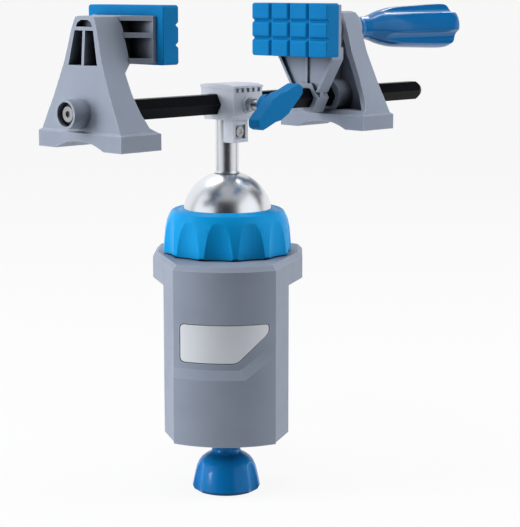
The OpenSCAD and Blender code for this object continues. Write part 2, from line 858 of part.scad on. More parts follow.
// Pad carrier: a plate behind the pad, a hex sleeve on the bar and a tube for the spindle nut
module pad_carrier() {
    b = moving_back;
    low = b + 7;
    e = pad_w / 2 - 9.5;
    h = hex_sleeve_r;
    color(grey)
        at_bar()
            difference() {
                union() {
                    along_u(b, b + 3.8)
                        polygon([[-pad_w / 2 + 1.5, pad_low + 1], [pad_w / 2 - 1.5, pad_low + 1],
                            [pad_w / 2 - 1.5, pad_top - 1], [-pad_w / 2 + 1.5, pad_top - 1]]);
                    along_u(low, low + 3.4)
                        polygon([[-e, pad_low + 6], [-e, pad_low - 2], [-h - 0.2, 4], [-h, 0],
                            [-h / 2, -h * 0.866],
                            [h / 2, -h * 0.866], [h, 0], [h + 0.2, 4], [e, pad_low - 2], [e, pad_low + 6]]);
                    for (s = [-1, 1]) {
                        along_u(low - 2.6, low + 8)
                            polygon([[s * e, pad_low - 2], [s * (e - 2.2), pad_low - 2], [s * (h - 2), 4],
                                [s * (h + 0.2), 4]]);
                        along_u(b + 3.7, low + 8)
                            polygon([[s * e, pad_low + 6], [s * (e - 2.2), pad_low + 6],
                                [s * (e - 2.2), pad_low - 2],
                                [s * e, pad_low - 2]]);
                    }
                    along_u(b + 3.7, low + 8)
                        polygon([[-e, pad_low + 6], [-e, pad_low + 3.4], [e, pad_low + 3.4],
                            [e, pad_low + 6]]);
                    along_u(low - 1.6, low + 1)
                        polygon([[-0.9, 8], [0.9, 8], [0.9, pad_low + 4], [-0.9, pad_low + 4]]);
                    hex_u(h, low - 2.6, low + 9);
                    translate([0, 0, pad_mid])
                        rod_u(tube_r, b + 3, tube_end);
                }
                hex_u(hex_hole_r, b - 20, b + 40);
                translate([0, 0, pad_mid]) {
                    rod_u(spindle_d / 2 + gap, b + 1.8, tube_end - 9);
                    rod_u(tube_r - 1.6, tube_end - 10, tube_end + 1);
                }
            }
}

module carrier_nut() {
    color(brass)
        at_bar()
            translate([0, 0, pad_mid])
                difference() {
                    rod_u(tube_r - 1.6, tube_end - 10, tube_end);
                    rod_u(spindle_d / 2 + run, tube_end - 12, tube_end + 1);
                }
}

module spindle() {
    color(steel)
        at_bar()
            translate([0, 0, pad_mid])
                rod_u(spindle_d / 2, moving_back + 2.6, handle_u + handle_l - 22);
}

module spindle_washer() {
    color(steel)
        at_bar()
            translate([0, 0, pad_mid])
                difference() {
                    rod_u(tube_r - 1, clip_u + 1.5, wall_u - gap);
                    rod_u(spindle_d / 2, clip_u, wall_u + 1);
                }
}

module spindle_clip() {
    color(steel)
        at_bar()
            translate([0, 0, pad_mid])
                difference() {
                    rod_u(tube_r - 1, clip_u, clip_u + 1.5);
                    rod_u(spindle_d / 2, clip_u - 1, wall_u + 1);
                }
}

// Fluted handle with four broad grooves
module handle() {
    r = handle_d / 2;
    l = handle_l;
    color(deep_blue)
        at_bar()
            translate([handle_u, 0, pad_mid])
                difference() {
                    rotate([0, 90, 0])
                        rotate_extrude()
                            polygon([[0, 0], [9.2, 0], [9.8, 0.6], [9.8, 4], [8.6, 6.5], [8, 9], [8, 16.5],
                                [r * 0.535, 19.5], [r * 0.594, 23.3], [r * 0.7, 29], [r * 0.775, 34.5],
                                [r * 0.8375, 40], [r * 0.87, 45], [r * 0.894, 51], [r * 0.925, 62],
                                [r * 0.95, 74], [r * 0.98, l - 22], [r, l - 10], [r * 0.985, l - 5],
                                [r * 0.94, l - 2.2], [r * 0.86, l - 0.6], [r * 0.76, l], [0, l]]);
                    rod_u(spindle_d / 2, -1, l - 22);
                    rod_u(5, l - 3, l + 1);
                    for (k = [0:3])
                        rotate([90 * k + 30.5, 0, 0])
                            translate([0, r - grip_depth + grip_groove / 2, 0])
                                rod_u(grip_groove / 2, 20, l + 1);
                }
}

module handle_plug() {
    color(black)
        at_bar()
            translate([handle_u, 0, pad_mid])
                rod_u(5, handle_l - 3, handle_l - 0.5);
}

base_housing();
name_plate();
upper_bench_pad();
lower_jaw();
lower_bench_pad();
jaw_nut();
clamp_screw();
clamp_knob();
knob_cap();
thrust_washer();
screw_clip();
ball_cup();
slip_ring();
ring_nut();
ball();
stem();
clamp_head();
lug_bolt();
brake_shoe();
wing_screw();
wing_knob();
wing_nut();
hex_bar();
fixed_jaw();
fixed_jaw_bolt();
bolt_washer();
fixed_jaw_pad();
moving_jaw();
pad_carrier();
moving_jaw_pad();
carrier_nut();
spindle();
spindle_washer();
spindle_clip();
handle();
handle_plug();
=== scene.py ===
import json
import math

import bmesh
import bpy
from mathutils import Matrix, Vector

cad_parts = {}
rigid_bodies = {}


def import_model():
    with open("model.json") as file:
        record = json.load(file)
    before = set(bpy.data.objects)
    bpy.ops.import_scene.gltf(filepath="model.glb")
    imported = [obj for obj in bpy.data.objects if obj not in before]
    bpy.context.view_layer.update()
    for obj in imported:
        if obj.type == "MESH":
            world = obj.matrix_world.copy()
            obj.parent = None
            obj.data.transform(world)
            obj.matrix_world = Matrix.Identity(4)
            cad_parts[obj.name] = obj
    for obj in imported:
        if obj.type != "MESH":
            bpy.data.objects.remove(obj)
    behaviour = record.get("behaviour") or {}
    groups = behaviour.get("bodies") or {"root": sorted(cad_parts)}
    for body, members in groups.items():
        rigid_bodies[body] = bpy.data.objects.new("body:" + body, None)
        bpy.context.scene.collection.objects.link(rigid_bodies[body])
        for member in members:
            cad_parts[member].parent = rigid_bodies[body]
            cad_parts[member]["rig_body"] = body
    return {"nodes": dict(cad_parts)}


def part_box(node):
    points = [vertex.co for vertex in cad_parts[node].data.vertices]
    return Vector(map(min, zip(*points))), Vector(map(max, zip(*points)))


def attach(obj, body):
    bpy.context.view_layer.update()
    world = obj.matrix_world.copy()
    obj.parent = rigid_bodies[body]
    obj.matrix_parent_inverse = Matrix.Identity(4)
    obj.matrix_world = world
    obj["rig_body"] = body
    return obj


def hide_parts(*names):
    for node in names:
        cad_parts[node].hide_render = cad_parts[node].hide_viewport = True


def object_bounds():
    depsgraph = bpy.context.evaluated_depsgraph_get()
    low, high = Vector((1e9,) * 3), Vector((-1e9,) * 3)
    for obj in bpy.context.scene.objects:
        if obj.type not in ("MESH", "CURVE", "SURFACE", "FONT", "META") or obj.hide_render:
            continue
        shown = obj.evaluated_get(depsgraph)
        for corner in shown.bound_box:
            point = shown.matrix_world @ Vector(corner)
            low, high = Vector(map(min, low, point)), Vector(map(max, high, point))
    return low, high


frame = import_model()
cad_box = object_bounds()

# Base housing
# The grey body that hooks over the bench edge: a top plate and a bowed column, one moulding of glass-filled
# nylon. It leaves the mould with a fine spark-eroded grain, small radii on its edges and a flat recess for
# the name plate.
nodes = frame["nodes"]


def place(tree, kind, **values):
    """A shader node; words in small letters are its settings, words with a capital are its inputs."""
    node = tree.nodes.new("ShaderNode" + kind)
    for word, value in values.items():
        if word.islower():
            setattr(node, word, value)
        else:
            node.inputs[word.replace("_", " ")].default_value = value
    return node


def reckon(tree, operation, *numbers):
    """A Math node; None stands for a number that comes over a link."""
    node = place(tree, "Math", operation=operation)
    for entry, number in zip(node.inputs, numbers):
        if number is not None:
            entry.default_value = number
    return node


def wire(tree, *links):
    """Joins nodes: each link names a node and its output, then a node and its input."""
    for source, output, target, entry in links:
        tree.links.new(source.outputs[output], target.inputs[entry])


def effect(name, inputs, outputs):
    """An empty shader group with named sockets, and its two end nodes."""
    group = bpy.data.node_groups.new(name, "ShaderNodeTree")
    for label, kind, value in inputs:
        entry = group.interface.new_socket(label, in_out="INPUT", socket_type="NodeSocket" + kind)
        entry.default_value = value
    for label in outputs:
        group.interface.new_socket(label, in_out="OUTPUT", socket_type="NodeSocketFloat")
    return group, group.nodes.new("NodeGroupInput"), group.nodes.new("NodeGroupOutput")


# moulded grain: the spark-eroded skin of a mould, and the slow drift of colour under it
grain, start, end = effect("moulded_grain", [("Size", "Float", 0.0005)], ["Height", "Tone"])
where = place(grain, "TexCoord")
per_metre = reckon(grain, "DIVIDE", 1.0)
fine = place(grain, "TexNoise", Detail=4.0, Roughness=0.62)
slow = place(grain, "TexNoise", Scale=38.0, Detail=3.0, Roughness=0.5)
wire(grain,
     (start, "Size", per_metre, 1), (per_metre, 0, fine, "Scale"),
     (where, "Object", fine, "Vector"), (fine, "Fac", end, "Height"),
     (where, "Object", slow, "Vector"), (slow, "Fac", end, "Tone"))

# rubbed edges and painted highlight: edges are lightened where hands and benches polish the corners and where
# a highlight runs along them, broken up so that it is never an even line
edge_wear_highlight_group, start, end = effect("edge_wear_and_highlight", [("Radius", "Float", 0.0012), ("Breakup", "Float", 260.0)], ["Mask"])
round_normal = place(edge_wear_highlight_group, "Bevel", samples=4)
true_normal = place(edge_wear_highlight_group, "NewGeometry")
along = place(edge_wear_highlight_group, "VectorMath", operation="DOT_PRODUCT")
spread = place(edge_wear_highlight_group, "MapRange", From_Min=0.995, From_Max=0.86)
where = place(edge_wear_highlight_group, "TexCoord")
patchy = place(edge_wear_highlight_group, "TexNoise", Detail=5.0, Roughness=0.7)
band = place(edge_wear_highlight_group, "MapRange", From_Min=0.36, From_Max=0.68, To_Min=0.12)
both = reckon(edge_wear_highlight_group, "MULTIPLY")
wire(edge_wear_highlight_group,
     (start, "Radius", round_normal, "Radius"), (round_normal, "Normal", along, 0),
     (true_normal, "Normal", along, 1), (along, "Value", spread, "Value"), (spread, "Result", both, 0),
     (where, "Object", patchy, "Vector"), (start, "Breakup", patchy, "Scale"),
     (patchy, "Fac", band, "Value"), (band, "Result", both, 1), (both, 0, end, "Mask"))

# painted corner shade: inside corners, grooves and deep pockets are darkened where the ambient occlusion is
# low, as the shade that falls there, broken up a little by noise
corner_shade_group, start, end = effect("painted_corner_shade", [("Reach", "Float", 0.004)], ["Mask"])
shelter = place(corner_shade_group, "AmbientOcclusion", samples=6)
deep = place(corner_shade_group, "MapRange", From_Min=0.66, From_Max=0.2)
where = place(corner_shade_group, "TexCoord")
patchy = place(corner_shade_group, "TexNoise", Scale=150.0, Detail=4.0, Roughness=0.6)
thin = place(corner_shade_group, "MapRange", From_Min=0.3, From_Max=0.7, To_Min=0.9)
both = reckon(corner_shade_group, "MULTIPLY")
wire(corner_shade_group,
     (start, "Reach", shelter, "Distance"), (shelter, "AO", deep, "Value"), (deep, "Result", both, 0),
     (where, "Object", patchy, "Vector"), (patchy, "Fac", thin, "Value"), (thin, "Result", both, 1),
     (both, 0, end, "Mask"))

# handling marks: faint smears and finger traces that only the gloss shows
marks, start, end = effect("handling_marks", [("Scale", "Float", 70.0)], ["Smear"])
where = place(marks, "TexCoord")
drift = place(marks, "TexNoise", Detail=6.0, Roughness=0.66, Distortion=1.4)
wire(marks,
     (where, "Object", drift, "Vector"), (start, "Scale", drift, "Scale"), (drift, "Fac", end, "Smear"))


def material(name):
    """A new material and its node tree."""
    paint = bpy.data.materials.new(name)
    paint.use_nodes = True
    return paint, paint.node_tree


def wear_and_painted_light(tree, clean, worn_highlight_colour, wear_highlight_width, wear_highlight_share, corner_shade_colour, corner_shade_reach, corner_shade_share):
    """Takes the colour of a clean surface to the shader, with edges lightened as wear and as painted
    highlight, and painted shade in the corners.
    """
    # edges turn towards a lighter colour: partly wear, partly a painted highlight
    worn_lit_edges = place(tree, "Group", node_tree=edge_wear_highlight_group, Radius=wear_highlight_width)
    worn_lit_share = reckon(tree, "MULTIPLY", None, wear_highlight_share)
    lit = place(tree, "Mix", data_type="RGBA", B=worn_highlight_colour + (1.0,))
    # painted shade: the colour darkens in corners and pockets from the ambient occlusion
    corner_shade_node = place(tree, "Group", node_tree=corner_shade_group, Reach=corner_shade_reach)
    corner_shade_amount = reckon(tree, "MULTIPLY", None, corner_shade_share)
    corner_shaded = place(tree, "Mix", data_type="RGBA", B=corner_shade_colour + (1.0,))
    wire(tree,
         (worn_lit_edges, "Mask", worn_lit_share, 0), (worn_lit_share, 0, lit, "Factor"),
         (clean, "Result", lit, "A"), (lit, "Result", corner_shaded, "A"),
         (corner_shade_node, "Mask", corner_shade_amount, 0), (corner_shade_amount, 0, corner_shaded, "Factor"),
         (corner_shaded, "Result", tree.nodes["Principled BSDF"], "Base Color"))


def plastic(name, colour, drifted, worn_highlight_colour, gloss, grain_size, depth, wear_highlight_width, shine_level=0.4):
    """A moulded plastic: two near colours, grain, edges lightened as wear and as painted highlight, painted
    shade in corners and pockets, and smeared gloss.
    """
    # painted shade: corners, windows and deep pockets are darkened almost to black
    corner_shade_tone = 0.02
    paint, tree = material(name)
    body = tree.nodes["Principled BSDF"]
    body.inputs["Specular IOR Level"].default_value = shine_level
    skin = place(tree, "Group", node_tree=grain, Size=grain_size)
    tone = place(tree, "MapRange", From_Min=0.3, From_Max=0.7)
    clean = place(tree, "Mix", data_type="RGBA", A=colour + (1.0,), B=drifted + (1.0,))
    touched = place(tree, "Group", node_tree=marks)
    smeared = place(tree, "MapRange", From_Min=0.25, From_Max=0.75, To_Min=gloss[0], To_Max=gloss[1])
    relief = place(tree, "Bump", Strength=0.6, Distance=depth)
    wire(tree,
         (skin, "Tone", tone, "Value"), (tone, "Result", clean, "Factor"),
         (touched, "Smear", smeared, "Value"), (smeared, "Result", body, "Roughness"),
         (skin, "Height", relief, "Height"), (relief, "Normal", body, "Normal"))
    wear_and_painted_light(tree, clean, worn_highlight_colour, wear_highlight_width, wear_highlight_share=0.55,
            corner_shade_colour=tuple(corner_shade_tone * c for c in colour), corner_shade_reach=0.018, corner_shade_share=1.0)
    return paint


def put(name, data):
    """A new object in the scene that holds this mesh, lamp or lens."""
    thing = bpy.data.objects.new(name, data)
    bpy.context.scene.collection.objects.link(thing)
    return thing


def dressed(node, form, sharp_from, finish):
    """Shows a form in place of its node, in its finish, riding where the node rides."""
    mesh = bpy.data.meshes.new(node + "_shape")
    form.to_mesh(mesh)
    form.free()
    mesh.shade_smooth()
    mesh.set_sharp_from_angle(angle=math.radians(sharp_from))
    mesh.materials.append(finish)
    piece = put(node + "_piece", mesh)
    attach(piece, nodes[node]["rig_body"])
    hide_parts(node)
    return piece


def rounded(node, finish, edge, rounds=2, crease=28.0, reshape=None):
    """The node's own shape with its sharp edges rounded off, in place of the node."""
    seam = 2e-6
    flat = math.radians(0.6)
    form = bmesh.new()
    form.from_mesh(nodes[node].data)
    bmesh.ops.remove_doubles(form, verts=form.verts, dist=seam)
    if reshape:
        reshape(form)
    bmesh.ops.dissolve_limit(form, angle_limit=flat, verts=form.verts, edges=form.edges)
    sharp = [e for e in form.edges if e.is_manifold and e.calc_face_angle(0.0) > math.radians(crease)]
    bmesh.ops.bevel(form, geom=sharp, offset=edge, offset_type="OFFSET", segments=rounds, profile=0.5,
                    affect="EDGES", clamp_overlap=True)
    bmesh.ops.remove_doubles(form, verts=form.verts, dist=seam / 2)
    piece = dressed(node, form, sharp_from=48.0, finish=finish)
    even = piece.modifiers.new("even_normals", "WEIGHTED_NORMAL")
    even.keep_sharp = True
    return piece


def mould_slopes(form):
    """Draws the steps of the front ledge and of the plate's edge out into the slopes of the mould."""
    low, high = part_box("stem")
    column_y = (low.y + high.y) / 2
    # the bowed front: its centre from the column's axis, where it ends, and its radius by height
    bow_y = -0.0065
    front_end = -0.04
    bow_above_ledge = 0.0585
    bow_on_ledge = 0.0600
    bow_below_ledge = 0.0615
    # the ledge is level on the left and rises from a bend on the right
    ledge_z = -0.0510
    ledge_bend_x = 0.0117
    ledge_rise = 0.76
    # the plate's outline: half its width in front, its gain over the taper, its cut corners and its back
    plate_front = 0.0327
    plate_gain = 0.017
    plate_taper = 0.0550
    plate_corner = 0.036
    plate_back = 0.048
    # the steps at the plate's edge, their distances from the outline, and the heights that make a slope
    low_step = 0.0148
    high_step = 0.0164
    first_step = (0.0007, 0.0022)
    second_step = (0.0022, 0.0038)
    slope_middle = 0.0162
    slope_top = 0.0178
    # how near a corner lies to the height or the radius that is looked for
    hair = 0.00003
    near_ledge = 0.0001
    for corner in form.verts:
        x = abs(corner.co.x)
        y = corner.co.y - column_y
        z = corner.co.z
        bow = math.hypot(x, y - bow_y)
        in_front = y < front_end
        if in_front and abs(bow - bow_on_ledge) < near_ledge:
            ledge = ledge_z + max(0.0, corner.co.x - ledge_bend_x) * ledge_rise
            radius = bow_above_ledge if z > ledge else bow_below_ledge
            corner.co.y = column_y + bow_y - math.sqrt(radius * radius - x * x)
        gained = plate_gain * min(1.0, max(0.0, (y + plate_taper) / plate_taper))
        side = plate_front + gained - max(0.0, y - plate_corner)
        inset = min(side - x, plate_back - y, bow_above_ledge - bow if in_front else 1.0)
        on_low_step = abs(z - low_step) < hair
        on_high_step = abs(z - high_step) < hair
        if first_step[0] < inset < first_step[1] and (on_low_step or on_high_step):
            corner.co.z = slope_middle
        if second_step[0] < inset < second_step[1] and on_high_step:
            corner.co.z = slope_top
    bmesh.ops.remove_doubles(form, verts=form.verts, dist=hair)
    bmesh.ops.dissolve_degenerate(form, dist=2 / 3 * hair, edges=form.edges)


# the grey's edge colour is far lighter than the moulding: worn edges, and a painted highlight along them
housing_grey = plastic("housing_grey", colour=(0.245, 0.280, 0.348), drifted=(0.226, 0.259, 0.324),
                       worn_highlight_colour=(0.58, 0.62, 0.69), gloss=(0.46, 0.58), grain_size=0.00042, depth=0.00004,
                       wear_highlight_width=0.0011, shine_level=0.25)
rounded("base_housing", housing_grey, edge=0.0008, rounds=3, crease=14.0,
        reshape=mould_slopes)

# Name plate
# A bare foil plate in the recess of the column front, stamped from thin aluminium and stuck down.
# Its face is brushed from side to side under a clear lacquer.
lines, start, end = effect("drawn_lines", [("Stretch", "Vector", (40.0, 4000.0, 4000.0))], ["Lines"])
where = place(lines, "TexCoord")
pull = place(lines, "VectorMath", operation="MULTIPLY")
streak = place(lines, "TexNoise", Scale=1.0, Detail=5.0, Roughness=0.7)
wire(lines,
     (where, "Object", pull, 0), (start, "Stretch", pull, 1),
     (pull, "Vector", streak, "Vector"), (streak, "Fac", end, "Lines"))


def metal(name, colour, worn_highlight_colour, gloss, tool, depth, metallic=1.0, tint=0.12, shine_level=0.5, **tool_inputs):
    """A bare or plated metal: tool marks in colour, gloss and relief, smears, brighter edges as wear and as
    painted highlight, and painted shade in the corners.
    """
    # painted shade: inside corners are darkened to 40 % of the colour over a short reach
    corner_shade_tone = 0.4
    tool_in_gloss = 0.07
    paint, tree = material(name)
    body = tree.nodes["Principled BSDF"]
    body.inputs["Metallic"].default_value = metallic
    body.inputs["Specular IOR Level"].default_value = shine_level
    tooled = place(tree, "Group", node_tree=tool, **tool_inputs)
    shaded = tuple(c * (1.0 - tint) for c in colour)
    clean = place(tree, "Mix", data_type="RGBA", A=shaded + (1.0,), B=colour + (1.0,))
    touched = place(tree, "Group", node_tree=marks, Scale=55.0)
    smeared = place(tree, "MapRange", From_Min=0.25, From_Max=0.75, To_Min=gloss[0], To_Max=gloss[1])
    uneven = reckon(tree, "MULTIPLY_ADD", None, tool_in_gloss)
    relief = place(tree, "Bump", Strength=0.5, Distance=depth)
    wire(tree,
         (tooled, 0, clean, "Factor"), (touched, "Smear", smeared, "Value"),
         (tooled, 0, uneven, 0), (smeared, "Result", uneven, 2), (uneven, 0, body, "Roughness"),
         (tooled, 0, relief, "Height"), (relief, "Normal", body, "Normal"))
    wear_and_painted_light(tree, clean, worn_highlight_colour, wear_highlight_width=0.0009, wear_highlight_share=1.0,
            corner_shade_colour=tuple(corner_shade_tone * c for c in colour), corner_shade_reach=0.003, corner_shade_share=0.45)
    return paint


plate_foil = metal("plate_foil", colour=(0.68, 0.71, 0.76), worn_highlight_colour=(0.80, 0.82, 0.85), gloss=(0.34, 0.42),
                   tool=lines, depth=0.000012, metallic=0.3, Stretch=(30.0, 3600.0, 3600.0))
rounded("name_plate", plate_foil, edge=0.0002)

# Bench pads
# Two moulded rubber pads that grip the bench from above and below, pressed into shallow recesses.
# The rubber is matt black with a dusty bloom.
pad_rubber = plastic("pad_rubber", colour=(0.030, 0.031, 0.033), drifted=(0.040, 0.041, 0.043),
                     worn_highlight_colour=(0.075, 0.075, 0.078), gloss=(0.72, 0.86), grain_size=0.0007, depth=0.00008,
                     wear_highlight_width=0.0016)
for pad in ("upper_bench_pad", "lower_bench_pad"):
    rounded(pad, pad_rubber, edge=0.0007)

# Lower bench jaw
# The sliding arm under the bench, moulded in the same grey nylon as the housing, with a hexagon nut let into
# it. The nut is zinc plated steel, pressed into a pocket from below.
rounded("lower_jaw", housing_grey, edge=0.0006)
plated_steel = metal("plated_steel", colour=(0.44, 0.45, 0.47), worn_highlight_colour=(0.64, 0.64, 0.66), gloss=(0.20, 0.32),
                     tool=lines, depth=0.000012, Stretch=(900.0, 900.0, 900.0))
rounded("jaw_nut", plated_steel, edge=0.0003)

# Clamp screw
# A rolled steel screw that draws the lower jaw up against the bench; a washer and a spring clip hold it in
# the floor. The thread is left-hand, so that the knob tightens clockwise seen from below.


def threaded(node, ends, plain, radius, depth, lead, hand, finish):
    """A rolled thread between two ends, with plain journals of the lengths given at its tail and its head."""
    around = 28
    rings_each_turn = 8
    end_chamfer = 0.0006
    # how steep the flanks are, and how much of the crest they leave flat
    flank = 1.35
    crest = 0.2
    tail, head = ends
    length = (head - tail).length
    axis = (head - tail).normalized()
    side = axis.orthogonal().normalized()
    other = axis.cross(side)
    form = bmesh.new()
    rings = []
    along = 0.0
    while along < length + lead / (2 * rings_each_turn):
        reach = min(along, length)
        left = length - reach
        fade = min(1.0, max(0.0, (reach - plain[0]) / lead), max(0.0, (left - plain[1]) / lead))
        blunt = max(0.0, end_chamfer - reach, end_chamfer - left)
        ring = []
        for k in range(around):
            turn = 2 * math.pi * k / around
            phase = (reach / lead - hand * k / around) % 1.0
            cut = depth * min(1.0, max(0.0, flank * abs(2.0 * phase - 1.0) - crest))
            r = radius - cut * fade - blunt
            out = side * (r * math.cos(turn)) + other * (r * math.sin(turn))
            ring.append(form.verts.new(tail + axis * reach + out))
        rings.append(ring)
        along += lead / rings_each_turn
    for low, high in zip(rings, rings[1:]):
        for k in range(around):
            form.faces.new((low[k], low[(k + 1) % around], high[(k + 1) % around], high[k]))
    form.faces.new(list(reversed(rings[0])))
    form.faces.new(rings[-1])
    bmesh.ops.recalc_face_normals(form, faces=form.faces)
    return dressed(node, form, sharp_from=60.0, finish=finish)


low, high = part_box("clamp_screw")
screw_y = (low.y + high.y) / 2
threaded("clamp_screw", (Vector((0.0, screw_y, low.z)), Vector((0.0, screw_y, high.z))), plain=(0.032, 0.007),
         radius=0.005, depth=0.0007, lead=0.002, hand=-1, finish=plated_steel)
for ring in ("thrust_washer", "screw_clip"):
    rounded(ring, plated_steel, edge=0.00025)

# Clamp knob
# A bell-shaped three-groove knob under the housing, moulded in dark blue nylon round the end of the screw.
# A small cap of the same plastic closes the screw hole from below.
deep_blue = plastic("deep_blue", colour=(0.003, 0.165, 0.455), drifted=(0.003, 0.150, 0.425),
                    worn_highlight_colour=(0.02, 0.24, 0.56), gloss=(0.12, 0.20), grain_size=0.0006, depth=0.00001,
                    wear_highlight_width=0.0012, shine_level=0.14)
bell = rounded("clamp_knob", deep_blue, edge=0.0016, rounds=4)
rounded("knob_cap", deep_blue, edge=0.0004)

# Ball cup and slip ring
# The seat under the ball and the friction ring over it, turned from black nylon and pressed on the ball by
# the ring nut, which hides them both.
black_nylon = plastic("black_nylon", colour=(0.028, 0.029, 0.031), drifted=(0.036, 0.037, 0.039),
                      worn_highlight_colour=(0.07, 0.07, 0.075), gloss=(0.42, 0.55), grain_size=0.0005, depth=0.00002,
                      wear_highlight_width=0.0009)
for seat in ("ball_cup", "slip_ring"):
    rounded(seat, black_nylon, edge=0.0003)

# Ring nut
# The blue ring that screws down over the neck and locks the ball, with twelve finger grooves round its skirt.
# Moulded in blue nylon; hands have polished its rim, and its lighter edges are partly a painted highlight.
signal_blue = plastic("signal_blue", colour=(0.003, 0.292, 0.655), drifted=(0.003, 0.272, 0.620),
                      worn_highlight_colour=(0.02, 0.36, 0.74), gloss=(0.28, 0.38), grain_size=0.0006, depth=0.000014,
                      wear_highlight_width=0.0013, shine_level=0.1)
rounded("ring_nut", signal_blue, edge=0.0008, rounds=3)

# Ball and stem
# A ball and a round stem turned from aluminium bar and polished, with the lathe's faint rings left in the
# finish. The stem is pressed into the ball and carries the clamp head.
lathe, start, end = effect("turned_rings", [("Axis", "Vector", (0.0, 0.0, 1.0)), ("Pitch", "Float", 0.0002)],
                           ["Rings"])
where = place(lathe, "TexCoord")
reach = place(lathe, "VectorMath", operation="DOT_PRODUCT")
count = reckon(lathe, "DIVIDE")
lathe_mark = place(lathe, "TexNoise", noise_dimensions="1D", Scale=1.0, Detail=3.0, Roughness=0.6)
wire(lathe,
     (where, "Object", reach, 0), (start, "Axis", reach, 1),
     (reach, "Value", count, 0), (start, "Pitch", count, 1),
     (count, 0, lathe_mark, "W"), (lathe_mark, "Fac", end, "Rings"))
turned_aluminium = metal("turned_aluminium", colour=(0.80, 0.83, 0.87), worn_highlight_colour=(0.86, 0.88, 0.90),
                         gloss=(0.24, 0.30), tool=lathe, depth=0.000006, tint=0.05,
                         Axis=(0.0, 0.0, 1.0), Pitch=0.00025)
rounded("ball", turned_aluminium, edge=0.0006)
rounded("stem", turned_aluminium, edge=0.0005)

# Clamp head
# A small casting on top of the stem that the bar slides through, with a row of notches along its upper edge.
# Cast in aluminium and tumbled; a lug below takes the bolt that grips the stem.
cast_skin, start, end = effect("casting_skin", [("Size", "Float", 0.0006)], ["Height"])
where = place(cast_skin, "TexCoord")
per_metre = reckon(cast_skin, "DIVIDE", 1.0)
lumps = place(cast_skin, "TexNoise", Detail=5.0, Roughness=0.6)
pits = place(cast_skin, "TexVoronoi")
pit_share = 0.35
shallow = reckon(cast_skin, "MULTIPLY_ADD", None, pit_share)
wire(cast_skin,
     (start, "Size", per_metre, 1), (per_metre, 0, lumps, "Scale"), (per_metre, 0, pits, "Scale"),
     (where, "Object", lumps, "Vector"), (where, "Object", pits, "Vector"),
     (pits, "Distance", shallow, 0), (lumps, "Fac", shallow, 2), (shallow, 0, end, "Height"))
cast_aluminium = metal("cast_aluminium", colour=(0.52, 0.55, 0.61), worn_highlight_colour=(0.66, 0.69, 0.74),
                       gloss=(0.46, 0.58), tool=cast_skin, depth=0.00005, metallic=0.2, shine_level=0.3,
                       Size=0.0007)
rounded("clamp_head", cast_aluminium, edge=0.0005, rounds=3)
rounded("lug_bolt", plated_steel, edge=0.0002)

# Wing screw
# The screw that presses a brass shoe on the bar, with a blue moulded wing to turn it by hand.
# The screw is plated steel, moulded into the wing and locked there by a small nut on its inner side.
bar_heading = math.radians(46.9)
bar_axis = Vector((math.cos(bar_heading), math.sin(bar_heading), 0.0))
across_bar = Vector((-math.sin(bar_heading), math.cos(bar_heading), 0.0))


def rod_ends(node, axis, radius):
    """The ends of a level round rod, from its box, which its roundness makes longer than the rod itself."""
    low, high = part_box(node)
    half = (high - low) / 2
    reach = abs(half.x * axis.x) + abs(half.y * axis.y) - 2 * radius * abs(axis.x * axis.y)
    middle = (low + high) / 2
    return middle - axis * reach, middle + axis * reach


wing_screw_radius = 0.003
threaded("wing_screw", rod_ends("wing_screw", across_bar, wing_screw_radius), plain=(0.016, 0.002),
         radius=wing_screw_radius, depth=0.0004, lead=0.001, hand=1, finish=plated_steel)
nut_brass = metal("nut_brass", colour=(0.62, 0.46, 0.19), worn_highlight_colour=(0.78, 0.62, 0.30), gloss=(0.22, 0.32),
                  tool=lines, depth=0.000012, Stretch=(900.0, 900.0, 900.0))
rounded("brake_shoe", nut_brass, edge=0.0003)
jaw_blue = plastic("jaw_blue", colour=(0.003, 0.165, 0.405), drifted=(0.003, 0.150, 0.380),
                   worn_highlight_colour=(0.03, 0.25, 0.54), gloss=(0.40, 0.52), grain_size=0.0008, depth=0.00003,
                   wear_highlight_width=0.0016, shine_level=0.06)
rounded("wing_knob", jaw_blue, edge=0.0009, rounds=3)
rounded("wing_nut", plated_steel, edge=0.0002)

# Hexagon bar
# Bright drawn hexagon steel, cut to length, chamfered and blackened; the moving jaw and the head ride on it.
# Sliding has worn the black thin along its corners; their lighter colour is partly a painted highlight.
black_steel = metal("black_steel", colour=(0.003, 0.0035, 0.005), worn_highlight_colour=(0.03, 0.032, 0.038),
                    gloss=(0.26, 0.36), tool=lines, depth=0.00001, metallic=0.0, tint=0.3, shine_level=0.06,
                    Stretch=(700.0, 700.0, 2600.0))
rounded("hex_bar", black_steel, edge=0.0004)

# Fixed jaw
# The A-shaped frame at the bar's near end, moulded in grey nylon with windows and ribs, bolted on through its
# boss. The bolt and its washer sit in the counterbore of the boss.
rounded("fixed_jaw", housing_grey, edge=0.0006, rounds=3)
rounded("fixed_jaw_bolt", plated_steel, edge=0.0002)
rounded("bolt_washer", plated_steel, edge=0.00015)

# Jaw pads
# Two blocks of blue urethane that slip over the jaw faces, with grooves for round and small work.
# They are softer than the frames, satin, and scuffed on their corners, whose lighter colour is partly a
# painted highlight.
for pad in ("fixed_jaw_pad", "moving_jaw_pad"):
    rounded(pad, jaw_blue, edge=0.0007, rounds=3)

# Moving jaw and pad carrier
# The second A-frame, open towards the work, slides on the bar; inside it the pad carrier is fed by the
# spindle. Both are grey nylon, and the carrier holds a brass nut for the spindle.
rounded("moving_jaw", housing_grey, edge=0.0006, rounds=3)
rounded("pad_carrier", housing_grey, edge=0.0005)
rounded("carrier_nut", nut_brass, edge=0.0003)

